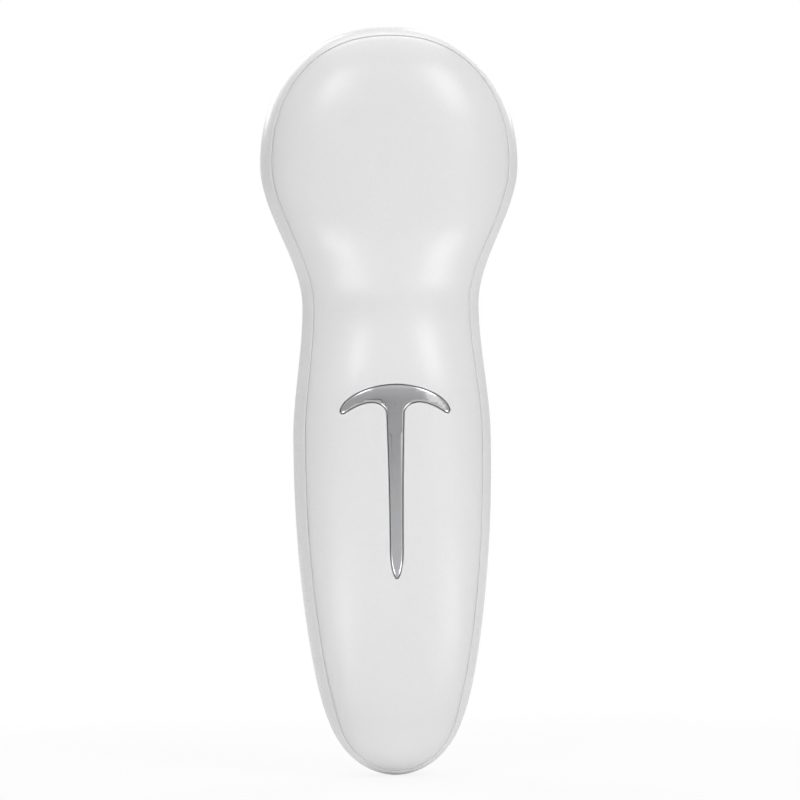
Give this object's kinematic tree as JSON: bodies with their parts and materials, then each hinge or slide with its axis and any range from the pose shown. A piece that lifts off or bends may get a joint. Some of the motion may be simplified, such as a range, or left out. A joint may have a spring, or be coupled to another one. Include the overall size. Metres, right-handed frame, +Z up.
{
  "type": "ultrasonic face massager",
  "caption": "Hand-held ultrasonic face massager: round head with a steel treatment plate on its front, soft neck, long grip with push buttons, and a metal hand electrode in its back.",
  "frame": {"origin": "bottom of the grip's tip, with the body centred in width and in overall depth", "axes": "+Z up the massager towards its head, +Y out of the treatment plate and buttons, -Y out of the back with the hand electrode, +X to the right as seen on the back"},
  "size_m": [0.0638, 0.0344, 0.1851],
  "materials": {
    "shell_plastic": "satin white moulded plastic",
    "polished_metal": "polished",
    "probe_steel": "fine satin stainless steel",
    "screw_metal": "plain zinc",
    "contact_brass": "bright",
    "seal_silicone": "soft matt",
    "foam": "foam",
    "inner_plastic": "moulded",
    "panel_plastic": "glossy inlay",
    "button_plastic": "fine matt",
    "black_plastic": "moulded",
    "lens": "clear light pipe",
    "board": "solder mask",
    "ferrite": "ferrite and wire",
    "ceramic": "silvered ceramic",
    "sleeve": "shrink sleeve",
    "red_wire": "insulated wire",
    "black_wire": "insulated wire"
  },
  "bodies": {
    "housing": {"front_shell": "shell_plastic", "rear_cover": "shell_plastic", "hand_electrode": "polished_metal", "electrode_clip_upper": "screw_metal", "electrode_clip_lower": "screw_metal", "electrode_contact": "contact_brass", "probe_plate": "probe_steel", "probe_seal": "seal_silicone", "probe_ring": "polished_metal", "piezo_disc": "ceramic", "transducer_pad": "foam", "transducer_holder": "inner_plastic", "holder_screw_1": "screw_metal", "holder_screw_2": "screw_metal", "holder_screw_3": "screw_metal", "main_board": "board", "board_screw_1": "screw_metal", "board_screw_2": "screw_metal", "board_screw_3": "screw_metal", "board_screw_4": "screw_metal", "charging_board": "board", "charge_screw_1": "screw_metal", "charge_screw_2": "screw_metal", "charging_socket": "probe_steel", "driver_coil": "ferrite", "driver_capacitor": "sleeve", "driver_transformer": "ferrite", "control_chip": "black_plastic", "control_panel": "panel_plastic", "power_switch": "screw_metal", "mode_switch": "screw_metal", "level_switch": "screw_metal", "status_led_1": "lens", "status_led_2": "lens", "status_led_3": "lens", "status_lens_1": "lens", "status_lens_2": "lens", "status_lens_3": "lens", "battery_cell": "sleeve", "battery_pad": "foam", "battery_lead_red": "red_wire", "battery_lead_black": "black_wire", "charging_lead": "black_wire", "transducer_lead_red": "red_wire", "transducer_lead_black": "black_wire"},
    "power_key": {"power_button": "button_plastic", "power_plunger": "black_plastic"},
    "mode_key": {"mode_button": "button_plastic", "mode_plunger": "black_plastic"},
    "level_key": {"level_button": "button_plastic", "level_plunger": "black_plastic"}
  },
  "joints": [
    {"name": "power_press", "type": "slide", "parent": "housing", "child": "power_key", "axis": [0, -1, 0], "range_m": [0, 0.0005], "stiffness_N_per_m": 1500, "springref_m": -0.0005},
    {"name": "mode_press", "type": "slide", "parent": "housing", "child": "mode_key", "axis": [0, -1, 0], "range_m": [0, 0.0005], "stiffness_N_per_m": 1500, "springref_m": -0.0005},
    {"name": "level_press", "type": "slide", "parent": "housing", "child": "level_key", "axis": [0, -1, 0], "range_m": [0, 0.0005], "stiffness_N_per_m": 1500, "springref_m": -0.0005}
  ]
}
